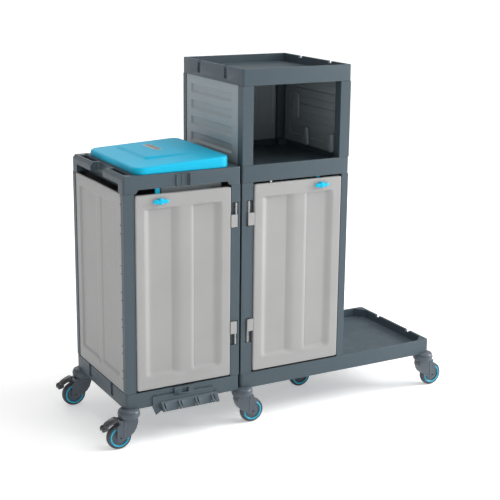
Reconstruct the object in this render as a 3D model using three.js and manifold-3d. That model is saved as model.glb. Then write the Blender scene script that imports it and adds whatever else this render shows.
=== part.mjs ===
// Housekeeping cart: two cabinet modules on a long base with a low tray at one end, a hood over the
// right module, a bag module with a hinged lid on the left, six swivel castors and a fixed middle
// wheel.
// Millimetres, +Z up, +X along the cart towards the low tray, +Y from the doors to the back.
import * as THREE from "three";
import { mergeVertices } from "three/addons/utils/BufferGeometryUtils.js";
import Module from "manifold-3d";

const wasm = await Module();
wasm.setup();

// ---- driving dimensions -------------------------------------------------------------------------
const DEPTH = 530; // front to back of every frame
const GAP = 0.4; // clearance between pieces that touch
const LEFT_W = 490; // bag module
const RIGHT_X = 498; // where the right module starts
const RIGHT_W = 491; // cabinet module
const BASE_END = 1442; // end of the low tray
const BASE_Z = 154; // underside of the bases
const BAND_H = 65; // height of the base bands
const DECK_Z = BASE_Z + BAND_H; // top of the bases, where the posts stand
const POST_H = 787; // cabinet posts
const FRAME_Z = DECK_Z + POST_H; // underside of the two upper frames
const FRAME_H = 67;
const SHELF_Z = FRAME_Z + FRAME_H; // top of the two upper frames
const HOOD_H = 309; // hood posts
const TRAY_Z = SHELF_Z + HOOD_H; // underside of the hood tray
const TRAY_H = 65;
const WALL = 12; // thickness of a frame's rim
const RIGHT_END = RIGHT_X + RIGHT_W;
const POST_D = 28; // depth of a cabinet post
const HOOD_POST_W = 47;
const HOOD_POST_D = 42;
const SLOT_INSET = 117; // stacking slots lie this far on each side of the middle
const SLOT_W = 24;
const SLOT_H = 50;

// doors
const DOOR_W = 402;
const DOOR_FRONT = -4;
const DOOR_T = 20;
const DOOR_Z0 = DECK_Z + 7;
const DOOR_Z1 = FRAME_Z - 9;
const LEFT_DOOR_X = 46;
const RIGHT_DOOR_X = 552;
const HINGE_REACH = 24; // from a door's edge to its hinge axis
const HINGE_Y = 1;
const HINGE_PLATE_H = 50;
const HINGE_PIN_H = 47;
const UPPER_HINGE_Z = 836;
const LOWER_HINGE_Z = 352;
const LATCH_INSET = 100;
const LATCH_Z = 971;

// lid
const LID_X0 = 54;
const LID_X1 = 452;
const LID_Y0 = 8;
const LID_Y1 = 497;
const LID_LOW = 1099; // top of the lid at its grip end
const LID_HIGH = 1118; // top of the lid at its hinge end
const PLATEAU_LOW = 1109.7; // the plateau's level plane above the grip end
const PLATEAU_HIGH = 1116.4; // and above the hinge end
const LID_PIN_X = 461;
const LID_PIN_Z = SHELF_Z + 10;

// castors
const WHEEL_R = 51;
const WHEEL_W = 28;
const TRAIL = 43;
const PIVOT_INSET = 16;
const HOUSING_R = 44;
const HOUSING_Z = 122; // underside of a castor housing
const MID_WHEEL_X = 937;
const PEDAL_TIP = 118; // reach of the brake pedal from the castor's pivot
const RACK_REACH = 34; // how far the tool rack stands out in front

// The origin is the middle of the whole cart on the floor.
const LEFT_REACH = PIVOT_INSET - PEDAL_TIP;
const RIGHT_REACH = BASE_END - PIVOT_INSET + TRAIL + WHEEL_R;
const BACK_REACH = DEPTH - PIVOT_INSET + HOUSING_R;
const ORIGIN_X = (LEFT_REACH + RIGHT_REACH) / 2;
const ORIGIN_Y = (BACK_REACH - RACK_REACH) / 2;

// ---- materials ----------------------------------------------------------------------------------
const finish = (color, roughness) => new THREE.MeshStandardMaterial({ color, roughness, metalness: 0 });
const SLATE = finish(0x5d6b74, 0.5);
const PANEL = finish(0xb2b2b0, 0.45);
const LOUVRE = finish(0x8f9797, 0.5);
const CYAN = finish(0x12b4dc, 0.35);
const DARK = finish(0x2b3036, 0.5);
const TYRE = finish(0x3c4146, 0.7);

// ---- solids -------------------------------------------------------------------------------------
function solid(geometry) {
  const bare = geometry.index ? geometry.toNonIndexed() : geometry.clone();
  bare.deleteAttribute("normal");
  bare.deleteAttribute("uv");
  const merged = mergeVertices(bare, 1e-3);
  return new wasm.Manifold(
    new wasm.Mesh({
      numProp: 3,
      vertProperties: merged.attributes.position.array,
      triVerts: new Uint32Array(merged.index.array),
    }),
  );
}

function block(x0, x1, y0, y1, z0, z1) {
  const box = new THREE.BoxGeometry(x1 - x0, y1 - y0, z1 - z0);
  return solid(box.translate((x0 + x1) / 2, (y0 + y1) / 2, (z0 + z1) / 2));
}

function roundedOutline(a0, a1, b0, b1, r) {
  const s = new THREE.Shape();
  s.moveTo(a0 + r, b0);
  s.lineTo(a1 - r, b0);
  s.absarc(a1 - r, b0 + r, r, -Math.PI / 2, 0);
  s.absarc(a1 - r, b1 - r, r, 0, Math.PI / 2);
  s.absarc(a0 + r, b1 - r, r, Math.PI / 2, Math.PI);
  s.absarc(a0 + r, b0 + r, r, Math.PI, Math.PI * 1.5);
  return s;
}

// A slab with rounded upright corners.
function slab(x0, x1, y0, y1, z0, z1, r) {
  const g = new THREE.ExtrudeGeometry(roundedOutline(x0, x1, y0, y1, r), {
    depth: z1 - z0,
    bevelEnabled: false,
    curveSegments: 3,
  });
  return solid(g.translate(0, 0, z0));
}

// An outline in X and Z carried from y0 to y1.
function uprightPlate(shape, y0, y1, curveSegments = 3) {
  const g = new THREE.ExtrudeGeometry(shape, { depth: y1 - y0, bevelEnabled: false, curveSegments });
  return solid(g.rotateX(Math.PI / 2).translate(0, y1, 0));
}

function outline(points) {
  return new THREE.Shape(points.map(([a, b]) => new THREE.Vector2(a, b)));
}

// An outline of [y, z] carried from x0 to x1.
function barX(points, x0, x1) {
  const g = new THREE.ExtrudeGeometry(outline(points), { depth: x1 - x0, bevelEnabled: false });
  return solid(g.rotateX(Math.PI / 2).rotateZ(Math.PI / 2).translate(x0, 0, 0));
}

// A round bar along Y.
function barY(x, z, r, y0, y1, sides = 16) {
  const g = new THREE.CylinderGeometry(r, r, y1 - y0, sides);
  return solid(g.translate(x, (y0 + y1) / 2, 0).translate(0, 0, z));
}

// A profile of [radius, height] turned about an upright axis.
function turned(profile, x, y, sides = 24) {
  const points = profile.map(([r, h]) => new THREE.Vector2(r, h));
  const g = new THREE.LatheGeometry(points, sides).rotateX(Math.PI / 2);
  return solid(g.translate(x, y, 0));
}

function mesh(name, shape, material, parent) {
  const { numProp, vertProperties, triVerts } = shape.getMesh();
  const g = new THREE.BufferGeometry();
  const positions = new Float32Array((vertProperties.length / numProp) * 3);
  for (let i = 0; i < positions.length / 3; i++)
    positions.set(vertProperties.subarray(i * numProp, i * numProp + 3), i * 3);
  g.setAttribute("position", new THREE.BufferAttribute(positions, 3));
  g.setIndex(new THREE.BufferAttribute(triVerts, 1));
  g.computeVertexNormals();
  const m = new THREE.Mesh(g, material);
  m.name = name;
  parent.add(m);
  return m;
}

const cart = new THREE.Group();
cart.position.set(-ORIGIN_X, -ORIGIN_Y, 0);

// ---- bases and frames ---------------------------------------------------------------------------
// A pocket between four corner pads, which carry posts above it or castors below it.
function pocket(x0, x1, z0, z1, padX, padY) {
  const long = block(x0 + padX, x1 - padX, WALL, DEPTH - WALL, z0, z1);
  return long.add(block(x0 + WALL, x1 - WALL, padY, DEPTH - padY, z0, z1));
}

// Stacking slots: shallow upright slots in a side face that end in a notch through the rim.
function stackingSlots(faceX, outwards, topZ) {
  const cuts = [-SLOT_INSET, SLOT_INSET].map((offset) => {
    const y = DEPTH / 2 + offset;
    const slot = [faceX - 6 * outwards, faceX + 2 * outwards].sort((a, b) => a - b);
    const notch = [faceX - (WALL + 2) * outwards, faceX + 2 * outwards].sort((a, b) => a - b);
    const deep = block(slot[0], slot[1], y - SLOT_W / 2, y + SLOT_W / 2, topZ - SLOT_H, topZ + 1);
    return deep.add(block(notch[0], notch[1], y - SLOT_W / 2, y + SLOT_W / 2, topZ - 8, topZ + 1));
  });
  return cuts[0].add(cuts[1]);
}

const FLOOR_Z = DECK_Z - 38; // floor of the base trays
const FLOOR_T = 8;

function leftBase() {
  return slab(0, LEFT_W, 0, DEPTH, BASE_Z, DECK_Z, 10)
    .subtract(pocket(0, LEFT_W, FLOOR_Z, DECK_Z + 1, 52, 32))
    .subtract(pocket(0, LEFT_W, BASE_Z - 1, FLOOR_Z - FLOOR_T, 62, 62))
    .subtract(stackingSlots(0, -1, DECK_Z));
}

// The low tray keeps a flat pad with a slanted inner edge in each of its two free corners.
function lowTray() {
  const x0 = RIGHT_END + 2;
  const x1 = BASE_END - WALL;
  const pad = 42;
  const y0 = WALL;
  const y1 = DEPTH - WALL;
  const s = outline([
    [x0, y0],
    [x1 - pad, y0],
    [x1 - pad / 2, y0 + pad / 2],
    [x1, y0 + pad],
    [x1, y1 - pad],
    [x1 - pad / 2, y1 - pad / 2],
    [x1 - pad, y1],
    [x0, y1],
  ]);
  const depth = DECK_Z + 1 - FLOOR_Z;
  return solid(new THREE.ExtrudeGeometry(s, { depth, bevelEnabled: false }).translate(0, 0, FLOOR_Z));
}

function rightBase() {
  return slab(RIGHT_X, BASE_END, 0, DEPTH, BASE_Z, DECK_Z, 14)
    .subtract(pocket(RIGHT_X, RIGHT_END, FLOOR_Z, DECK_Z + 1, 52, 32))
    .subtract(lowTray())
    .subtract(pocket(RIGHT_X, BASE_END, BASE_Z - 1, FLOOR_Z - FLOOR_T, 62, 62))
    .subtract(stackingSlots(BASE_END, 1, DECK_Z));
}

mesh("left_base", leftBase(), SLATE, cart);
mesh("right_base", rightBase(), SLATE, cart);

// A post is an upright channel with a thick face, open towards the inside of the cart.
function post(x0, x1, z0, z1, depth, atBack) {
  const face = 12;
  const side = 4;
  const y0 = atBack ? DEPTH - depth : 0;
  const channel = atBack ? [y0 - 1, DEPTH - face] : [face, depth + 1];
  const bar = block(x0, x1, y0, y0 + depth, z0 + GAP, z1 - GAP);
  return bar.subtract(block(x0 + side, x1 - side, channel[0], channel[1], z0, z1));
}

// The pockets that a door's two hinge arms and pins turn in, cut in a front post.
function hingePockets(axisX, towardsDoor) {
  const span = (near, far) =>
    [axisX + near * towardsDoor, axisX + far * towardsDoor].sort((a, b) => a - b);
  const [a0, a1] = span(-9, 9);
  const [b0, b1] = span(-9, HINGE_REACH);
  const deep = 10;
  const height = HINGE_PLATE_H + HINGE_PIN_H;
  const upperTop = UPPER_HINGE_Z + HINGE_PLATE_H;
  const lowerTop = LOWER_HINGE_Z + HINGE_PIN_H;
  return block(a0, a1, -1, deep, UPPER_HINGE_Z - 2, UPPER_HINGE_Z + height + 2)
    .add(block(b0, b1, -1, deep, upperTop + 1, upperTop + HINGE_PIN_H + 2))
    .add(block(a0, a1, -1, deep, LOWER_HINGE_Z - 2, LOWER_HINGE_Z + height + 2))
    .add(block(b0, b1, -1, deep, LOWER_HINGE_Z - 2, lowerTop - 1));
}

const LEFT_HINGE_X = LEFT_DOOR_X + DOOR_W + HINGE_REACH;
const RIGHT_HINGE_X = RIGHT_DOOR_X - HINGE_REACH;

function posts() {
  const cabinet = [
    ["left_post_outer", 0, 44],
    ["left_post_inner", 450, LEFT_W],
    ["right_post_inner", RIGHT_X, RIGHT_X + 50],
    ["right_post_outer", RIGHT_END - 32, RIGHT_END],
  ];
  const pockets = {
    left_post_inner: hingePockets(LEFT_HINGE_X, -1),
    right_post_inner: hingePockets(RIGHT_HINGE_X, 1),
  };
  for (const [name, x0, x1] of cabinet) {
    const front = post(x0, x1, DECK_Z, FRAME_Z, POST_D, false);
    mesh(name + "_front", pockets[name] ? front.subtract(pockets[name]) : front, SLATE, cart);
    mesh(name + "_back", post(x0, x1, DECK_Z, FRAME_Z, POST_D, true), SLATE, cart);
  }
  const hood = [
    ["hood_post_left", RIGHT_X],
    ["hood_post_right", RIGHT_END - HOOD_POST_W],
  ];
  for (const [name, x0] of hood) {
    const x1 = x0 + HOOD_POST_W;
    mesh(name + "_front", post(x0, x1, SHELF_Z, TRAY_Z, HOOD_POST_D, false), SLATE, cart);
    mesh(name + "_back", post(x0, x1, SHELF_Z, TRAY_Z, POST_D, true), SLATE, cart);
  }
}
posts();

// The bag module's top frame: a ring with two handle bars at its free end and hinge ears for the lid.
const RING_X0 = 46;
const HANDLE_H = 33;
const HANDLE_Y = 200; // each handle runs from its corner to here
const HAND_SLOT = [18, 42, 38, 182];

function mirroredInDepth(x0, x1, y0, y1, z0, z1) {
  return block(x0, x1, y0, y1, z0, z1).add(block(x0, x1, DEPTH - y1, DEPTH - y0, z0, z1));
}

function bandRelief() {
  const x0 = 51;
  const x1 = 444;
  const rise = 14;
  const run = 10;
  const s = outline([
    [x0, FRAME_Z - 1],
    [x1, FRAME_Z - 1],
    [x1 - run, FRAME_Z + rise],
    [x0 + run, FRAME_Z + rise],
  ]);
  return uprightPlate(s, -1, POST_D + 4);
}

function lidEars() {
  const ears = [118, 186, 344, 412].map((y) =>
    block(LID_PIN_X - 6, LID_PIN_X + 7, y - 5, y + 5, SHELF_Z - 2, LID_PIN_Z + 6),
  );
  return ears.reduce((sum, ear) => sum.add(ear));
}

function leftTopFrame() {
  const edge = 14;
  const chamfer = outline([
    [-1, SHELF_Z - edge],
    [edge, SHELF_Z + 1],
    [-1, SHELF_Z + 1],
  ]);
  const [sx0, sx1, sy0, sy1] = HAND_SLOT;
  const notch = slab(-20, RING_X0 - 6, HANDLE_Y, DEPTH - HANDLE_Y, FRAME_Z - 1, SHELF_Z + 1, 12);
  const underside = block(RING_X0, LEFT_W - 14, 14, DEPTH - 14, FRAME_Z - 1, SHELF_Z - 9);
  const ringFoot = block(RING_X0 + 6, 440, 34, DEPTH - 34, FRAME_Z - 2, SHELF_Z);
  return slab(0, LEFT_W, 0, DEPTH, FRAME_Z, SHELF_Z, 8)
    .subtract(underside.subtract(block(RING_X0, RING_X0 + 6, 0, DEPTH, FRAME_Z - 2, SHELF_Z)))
    .subtract(ringFoot)
    .subtract(slab(62, 438, 30, DEPTH - 30, FRAME_Z - 1, SHELF_Z + 1, 20))
    .subtract(bandRelief())
    .subtract(block(-1, RING_X0, 48, DEPTH - 48, FRAME_Z - 1, SHELF_Z - HANDLE_H))
    .subtract(notch)
    .subtract(mirroredInDepth(sx0, sx1, sy0, sy1, FRAME_Z - 1, SHELF_Z + 1))
    .subtract(uprightPlate(chamfer, -1, DEPTH + 1))
    .add(block(48, 52.6, 20, DEPTH - 20, SHELF_Z - 2, SHELF_Z + 4))
    .add(lidEars())
    .subtract(barY(LID_PIN_X, LID_PIN_Z, 3 + GAP, 0, DEPTH));
}
mesh("left_top_frame", leftTopFrame(), SLATE, cart);
mesh("lid_pin", barY(LID_PIN_X, LID_PIN_Z, 3, 108, 422, 12), DARK, cart);

// The ring that a bag hangs from, inside the top frame, with a guard plate behind the front band.
function bagRing() {
  const z0 = SHELF_Z - 33;
  const z1 = SHELF_Z - 21;
  return slab(56, 436, 36, DEPTH - 36, z0, z1, 20)
    .subtract(slab(68, 424, 48, DEPTH - 48, z0 - 1, z1 + 1, 14))
    .add(block(168, 424, 36, 41, FRAME_Z - 22, z1));
}
mesh("bag_ring", bagRing(), SLATE, cart);

function midFrame() {
  const floor = SHELF_Z - 25;
  return slab(RIGHT_X, RIGHT_END, 0, DEPTH, FRAME_Z, SHELF_Z, 8)
    .subtract(pocket(RIGHT_X, RIGHT_END, floor, SHELF_Z + 1, 49, 44))
    .subtract(pocket(RIGHT_X, RIGHT_END, FRAME_Z - 1, floor - FLOOR_T, 52, 32));
}
mesh("mid_frame", midFrame(), SLATE, cart);

function hoodTray() {
  const z1 = TRAY_Z + TRAY_H;
  const floor = z1 - 36;
  return slab(RIGHT_X, RIGHT_END, 0, DEPTH, TRAY_Z, z1, 8)
    .subtract(slab(RIGHT_X + WALL, RIGHT_END - WALL, WALL, DEPTH - WALL, floor, z1 + 1, 6))
    .subtract(pocket(RIGHT_X, RIGHT_END, TRAY_Z - 1, floor - FLOOR_T, 49, 44))
    .subtract(stackingSlots(RIGHT_X, -1, z1))
    .subtract(stackingSlots(RIGHT_END, 1, z1));
}
mesh("hood_tray", hoodTray(), SLATE, cart);

// ---- panels -------------------------------------------------------------------------------------
const PANEL_T = 8;
const RELIEF = 3.5;

// An end panel closes the side between two posts; two sunk fields leave a pilaster up its middle.
function endPanel(outerX, outwards) {
  const y0 = POST_D + 1;
  const y1 = DEPTH - POST_D - 1;
  const z0 = DECK_Z + GAP;
  const z1 = FRAME_Z - 2;
  const inner = outerX - PANEL_T * outwards;
  const [x0, x1] = [outerX, inner].sort((a, b) => a - b);
  const [c0, c1] = [outerX - RELIEF * outwards, outerX + outwards].sort((a, b) => a - b);
  const field = mirroredInDepth(c0, c1, y0 + 46, DEPTH / 2 - 44, z0 + 60, z1 - 48);
  return block(x0, x1, y0, y1, z0, z1).subtract(field);
}

// A plain back panel between two back posts.
function backPanel(x0, x1, z0, z1) {
  const y1 = DEPTH - 3;
  const y0 = y1 - PANEL_T;
  const field = block(x0 + 40, x1 - 40, y1 - RELIEF, y1 + 1, z0 + 40, z1 - 40);
  return block(x0, x1, y0, y1, z0 + GAP, z1 - GAP).subtract(field);
}

// A hood side panel with four sunk louvres and, low down, two slots.
function hoodSidePanel(outerX, outwards) {
  const y0 = HOOD_POST_D + 1;
  const y1 = DEPTH - POST_D - 1;
  const z0 = SHELF_Z + GAP;
  const z1 = TRAY_Z - GAP;
  const [x0, x1] = [outerX, outerX - PANEL_T * outwards].sort((a, b) => a - b);
  const [c0, c1] = [outerX - RELIEF * outwards, outerX + outwards].sort((a, b) => a - b);
  let panel = block(x0, x1, y0, y1, z0, z1);
  for (let i = 0; i < 4; i++) {
    const top = TRAY_Z - 36 - i * 67;
    panel = panel.subtract(block(c0, c1, y0 + 56, y1 - 46, top - 38, top));
  }
  return panel.subtract(mirroredInDepth(x0 - 1, x1 + 1, 136, 162, z0 + 14, z0 + 26));
}

mesh("left_end_panel", endPanel(2, -1), PANEL, cart);
mesh("divider_panel", endPanel(RIGHT_X + 2, -1), PANEL, cart);
mesh("right_end_panel", endPanel(RIGHT_END - 2, 1), PANEL, cart);
mesh("left_back_panel", backPanel(44 + GAP, 450 - GAP, DECK_Z, FRAME_Z), PANEL, cart);
const rightBack = backPanel(RIGHT_X + 50 + GAP, RIGHT_END - 32 - GAP, DECK_Z, FRAME_Z);
mesh("right_back_panel", rightBack, PANEL, cart);
mesh("hood_left_panel", hoodSidePanel(RIGHT_X + 2, -1), LOUVRE, cart);
mesh("hood_right_panel", hoodSidePanel(RIGHT_END - 2, 1), LOUVRE, cart);
const hoodBack = backPanel(RIGHT_X + HOOD_POST_W + GAP, RIGHT_END - HOOD_POST_W - GAP, SHELF_Z, TRAY_Z);
mesh("hood_back_panel", hoodBack, LOUVRE, cart);

// ---- lid ----------------------------------------------------------------------------------------
// Everything below a roof that falls from the hinge end to the grip end.
function underRoof(low, high) {
  const s = outline([
    [LID_X0 - 20, SHELF_Z - 20],
    [LID_X1 + 20, SHELF_Z - 20],
    [LID_X1 + 20, high],
    [LID_X0 - 20, low],
  ]);
  return uprightPlate(s, LID_Y0 - 20, LID_Y1 + 20);
}

function lid() {
  const wall = 4;
  const z0 = SHELF_Z + GAP;
  const roof = underRoof(LID_LOW - 1, LID_HIGH + 1);
  const ceiling = underRoof(LID_LOW - 1 - wall, LID_HIGH + 1 - wall);
  const shell = slab(LID_X0, LID_X1, LID_Y0, LID_Y1, z0, LID_HIGH + 20, 34).intersect(roof);
  const inner = [LID_X0 + wall, LID_X1 - wall, LID_Y0 + wall, LID_Y1 - wall];
  const hollow = slab(...inner, z0 - 1, LID_HIGH + 20, 30).intersect(ceiling);
  const plateau = slab(148, 377, 134, 442, SHELF_Z + 12, LID_HIGH + 20, 22)
    .intersect(underRoof(PLATEAU_LOW, PLATEAU_HIGH));
  const under = slab(152, 373, 138, 438, SHELF_Z, LID_HIGH + 20, 20)
    .intersect(underRoof(PLATEAU_LOW - wall, PLATEAU_HIGH - wall));
  let body = shell.add(plateau).subtract(hollow).subtract(under);
  for (const y of [152, 378]) {
    body = body.add(barY(LID_PIN_X, LID_PIN_Z, 8, y - 28, y + 28, 16));
    body = body.add(block(LID_X1 - 6, LID_PIN_X, y - 28, y + 28, LID_PIN_Z - 5, LID_PIN_Z + 8));
  }
  return body.subtract(barY(LID_PIN_X, LID_PIN_Z, 3 + GAP, 0, DEPTH, 12));
}
mesh("lid", lid(), CYAN, cart);

// ---- doors --------------------------------------------------------------------------------------
const LATCH_SHAFT_R = 5.5;

// A door: a flat moulding with two sunk fields on each side of a raised pilaster.
function door(x0, latchX) {
  const x1 = x0 + DOOR_W;
  const y1 = DOOR_FRONT + DOOR_T;
  const board = uprightPlate(roundedOutline(x0, x1, DOOR_Z0, DOOR_Z1, 8), DOOR_FRONT, y1);
  const fieldZ = [DOOR_Z0 + 50, DOOR_Z1 - 52];
  const left = roundedOutline(x0 + 56, x0 + 150, fieldZ[0], fieldZ[1], 6);
  const right = roundedOutline(x1 - 158, x1 - 64, fieldZ[0], fieldZ[1], 6);
  return board
    .subtract(uprightPlate(left, DOOR_FRONT - 1, DOOR_FRONT + 5))
    .subtract(uprightPlate(right, DOOR_FRONT - 1, DOOR_FRONT + 5))
    .subtract(block(x0 + 6, x1 - 6, y1 - 8, y1 + 1, DOOR_Z0 + 6, LATCH_Z - 24))
    .subtract(barY(latchX, LATCH_Z, LATCH_SHAFT_R + 0.8, -50, 50));
}

// A hinge arm reaches from the door's edge over the post and carries a barbed pin on its axis.
function hingeArm(axisX, towardsDoor, z, pinUp) {
  const ends = [axisX - 4 * towardsDoor, axisX + (HINGE_REACH - GAP) * towardsDoor];
  const [x0, x1] = ends.sort((a, b) => a - b);
  const plate = block(x0, x1, HINGE_Y - 6.5, HINGE_Y - 1.5, z, z + HINGE_PLATE_H);
  const from = pinUp ? z + 4 : z + HINGE_PLATE_H - 4;
  const way = pinUp ? 1 : -1;
  const straight = [[0, 0], [4, 0], [4, HINGE_PLATE_H - 4], [4, 68]];
  const barbs = [[5.8, 70], [4, 73], [4, 77], [5.8, 80], [4, 83], [5, 88], [3, 93], [0, 93]];
  const profile = [...straight, ...barbs];
  const along = profile.map(([r, h]) => [r, from + way * h]);
  return plate.add(turned(pinUp ? along : along.reverse(), axisX, HINGE_Y, 12));
}

// A quarter-turn latch: winged knob in front, shaft through the door, tongue behind it.
function latch(x, tongueHalf, tongueH) {
  const wing = new THREE.Shape();
  wing.absellipse(0, 0, 33, 9, 0, Math.PI * 2);
  const wings = uprightPlate(wing, -21, -11, 4).add(barY(0, 0, 13, -21, DOOR_FRONT - GAP));
  const back = DOOR_FRONT + DOOR_T + GAP;
  const shaft = barY(0, 0, LATCH_SHAFT_R, -12, back + 5);
  const tongue = block(-tongueHalf, tongueHalf, back, back + 5, -8, tongueH);
  return wings.add(shaft).add(tongue).translate([x, 0, LATCH_Z]);
}

function doorSet(side, doorX, axisX, towardsDoor, latchX, tongueHalf, tongueH) {
  mesh(side + "_door", door(doorX, latchX), PANEL, cart);
  mesh(side + "_hinge_top", hingeArm(axisX, towardsDoor, UPPER_HINGE_Z, true), PANEL, cart);
  const lowerPlateZ = LOWER_HINGE_Z + HINGE_PIN_H;
  mesh(side + "_hinge_bottom", hingeArm(axisX, towardsDoor, lowerPlateZ, false), PANEL, cart);
  mesh(side + "_latch", latch(latchX, tongueHalf, tongueH), CYAN, cart);
}
doorSet("left", LEFT_DOOR_X, LEFT_HINGE_X, -1, LEFT_DOOR_X + LATCH_INSET, 10, 47);
doorSet("right", RIGHT_DOOR_X, RIGHT_HINGE_X, 1, RIGHT_DOOR_X + DOOR_W - LATCH_INSET, 8, 33);

// ---- front fittings -----------------------------------------------------------------------------
// A rack for tools hangs on the left base: back plate, hook plate with a square hole, and an apron
// that slopes out and down, slit into fingers with recessed tabs between them.
function toolRack() {
  const back = -GAP;
  const face = back - 6;
  const z0 = BASE_Z - 18;
  const wing = outline([
    [108, 196],
    [108, 152],
    [122, z0 - 18],
    [150, z0],
    [372, z0],
    [372, 193],
  ]);
  const apronX = [140, 386];
  const ridgeZ = 170;
  const apron = [
    [face + 1, ridgeZ],
    [face - 4, ridgeZ],
    [-RACK_REACH, z0 + 5],
    [-RACK_REACH, z0],
    [-RACK_REACH + 5, z0],
    [face + 1, ridgeZ - 12],
  ];
  const gusset = [...apron.slice(0, 5), [face + 1, z0]];
  let rack = uprightPlate(wing, face, back)
    .add(block(200, 283, face - 3, back, 186, DECK_Z))
    .subtract(block(231, 261, face - 4, back + 1, 193, 213))
    .add(barX(apron, ...apronX));
  for (const x of [apronX[0], apronX[1] - 4])
    rack = rack.add(barX(gusset, x, x + 4));
  const slit = [
    [-RACK_REACH - 1, z0 - 1],
    [-RACK_REACH - 1, z0 + 12],
    [face - 9, ridgeZ - 4],
    [face - 2, ridgeZ - 12],
    [face - 2, z0 - 1],
  ];
  const recess = [
    [-RACK_REACH - 1, z0 - 1],
    [-RACK_REACH - 1, z0 + 12],
    [face - 11, ridgeZ - 4],
    [face - 9, ridgeZ - 8],
    [-RACK_REACH + 2, z0 + 3],
    [-RACK_REACH + 2, z0 - 1],
  ];
  for (const x of [146, 217, 289, 361])
    for (const side of [x - 9, x + 5])
      rack = rack.subtract(barX(slit, side, side + 4));
  for (const x of [182, 253, 325])
    rack = rack.subtract(barX(recess, x - 24, x + 24));
  return rack;
}
mesh("tool_rack", toolRack(), SLATE, cart);

// A clip plate with an upright hook on the bag module's front band.
function bandClip() {
  const z0 = FRAME_Z + 15;
  const z1 = SHELF_Z - 7;
  return block(213, 272, -3, -GAP, z0, z1)
    .add(block(216, 221, -5, -2, z0, z1))
    .add(block(236, 245, -5, -2, z0, z1))
    .add(block(263, 267, -9, -2, z0, z1))
    .add(block(268, 272, -13, -2, z0, z1));
}
mesh("band_clip", bandClip(), SLATE, cart);

// ---- castors ------------------------------------------------------------------------------------
const HUB_Z = WHEEL_R;
const FORK_TOP = HOUSING_Z - 0.6;
const FORK_HALF = 22;
const SLOT_HALF = WHEEL_W / 2 + 1;
const STEM_R = 8;
const AXLE_R = 6;

// The wheel: bore, hub, sunk web, rim and a crowned tyre, turned about Y.
function wheel() {
  const half = WHEEL_W / 2;
  const r = AXLE_R + GAP;
  const hub = [[r, half], [15, half], [17, half - 5], [33, half - 5]];
  const tyre = [[36, half - 1], [46, half - 1], [51, half - 6]];
  const side = [...hub, ...tyre];
  const profile = [...side, ...side.map(([a, b]) => [a, -b]).reverse(), side[0]].reverse();
  const g = new THREE.LatheGeometry(profile.map(([a, b]) => new THREE.Vector2(a, b)), 20);
  return solid(g);
}

// The fork: two cheeks over the wheel's leading half, joined above it, with the stem and the axle.
function fork() {
  const cheek = outline([
    [-29, FORK_TOP],
    [-30, 103],
    [-22, 79],
    [-12, 64],
    [6, 50],
    [26, 40],
    [36, 37],
    [50, 37],
    [58, 45],
    [56, 98],
    [44, 106],
    [44, FORK_TOP],
  ]);
  return uprightPlate(cheek, -FORK_HALF, FORK_HALF)
    .subtract(barY(TRAIL, HUB_Z, WHEEL_R + 2.5, -SLOT_HALF, SLOT_HALF, 28))
    .add(turned([[0, FORK_TOP - 2], [STEM_R, FORK_TOP - 2], [STEM_R, 144], [0, 144]], 0, 0, 16))
    .add(barY(TRAIL, HUB_Z, AXLE_R, -FORK_HALF - 1, FORK_HALF + 1, 12));
}

// The brake pedal: a curved arm that drops towards two lobes behind the wheel.
function pedal() {
  const side = outline([
    [46.5, 108],
    [62, 108],
    [84, 93],
    [93, 84],
    [103, 82],
    [106, 92],
    [116, 97],
    [PEDAL_TIP, 104],
    [104, 113],
    [84, 124],
    [62, 132],
    [46.5, 133],
  ]);
  const lobeGap = block(99, PEDAL_TIP + 1, -3, 3, 80, 140);
  return uprightPlate(side, -19, 19).subtract(lobeGap);
}

// The fixed housing: a domed bumper that wraps round the corner of a base, bored for the stem.
function housing(x, y, baseX0, baseX1) {
  const profile = [
    [0, HOUSING_Z],
    [HOUSING_R - 4, HOUSING_Z],
    [HOUSING_R, HOUSING_Z + 4],
    [HOUSING_R, 146],
    [HOUSING_R - 5, 156],
    [HOUSING_R - 16, 160],
    [0, 160],
  ];
  return turned(profile, x, y)
    .subtract(turned([[0, 100], [STEM_R + GAP, 100], [STEM_R + GAP, 146], [0, 146]], x, y, 16))
    .subtract(block(baseX0, baseX1, -GAP, DEPTH + GAP, BASE_Z - GAP, 200));
}

const CASTORS = [
  // name, pivot X, pivot Y, which way the wheel trails, has a brake
  ["left_front", PIVOT_INSET, PIVOT_INSET, -1, true],
  ["left_back", PIVOT_INSET, DEPTH - PIVOT_INSET, -1, true],
  ["middle_front", RIGHT_X + PIVOT_INSET, PIVOT_INSET, 1, false],
  ["middle_back", RIGHT_X + PIVOT_INSET, DEPTH - PIVOT_INSET, 1, false],
  ["right_front", BASE_END - PIVOT_INSET, PIVOT_INSET, 1, false],
  ["right_back", BASE_END - PIVOT_INSET, DEPTH - PIVOT_INSET, 1, false],
];

function castors() {
  for (const [name, x, y, way, brake] of CASTORS) {
    mesh("housing_" + name, housing(x, y, -GAP, BASE_END + GAP), SLATE, cart);
    const swivel = new THREE.Group();
    swivel.position.set(x, y, 0);
    swivel.rotation.z = way < 0 ? Math.PI : 0;
    cart.add(swivel);
    mesh("fork_" + name, fork(), SLATE, swivel);
    mesh("wheel_" + name, wheel(), TYRE, swivel).position.set(TRAIL, 0, HUB_Z);
    if (brake) mesh("pedal_" + name, pedal(), DARK, swivel);
  }
}
castors();

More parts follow.
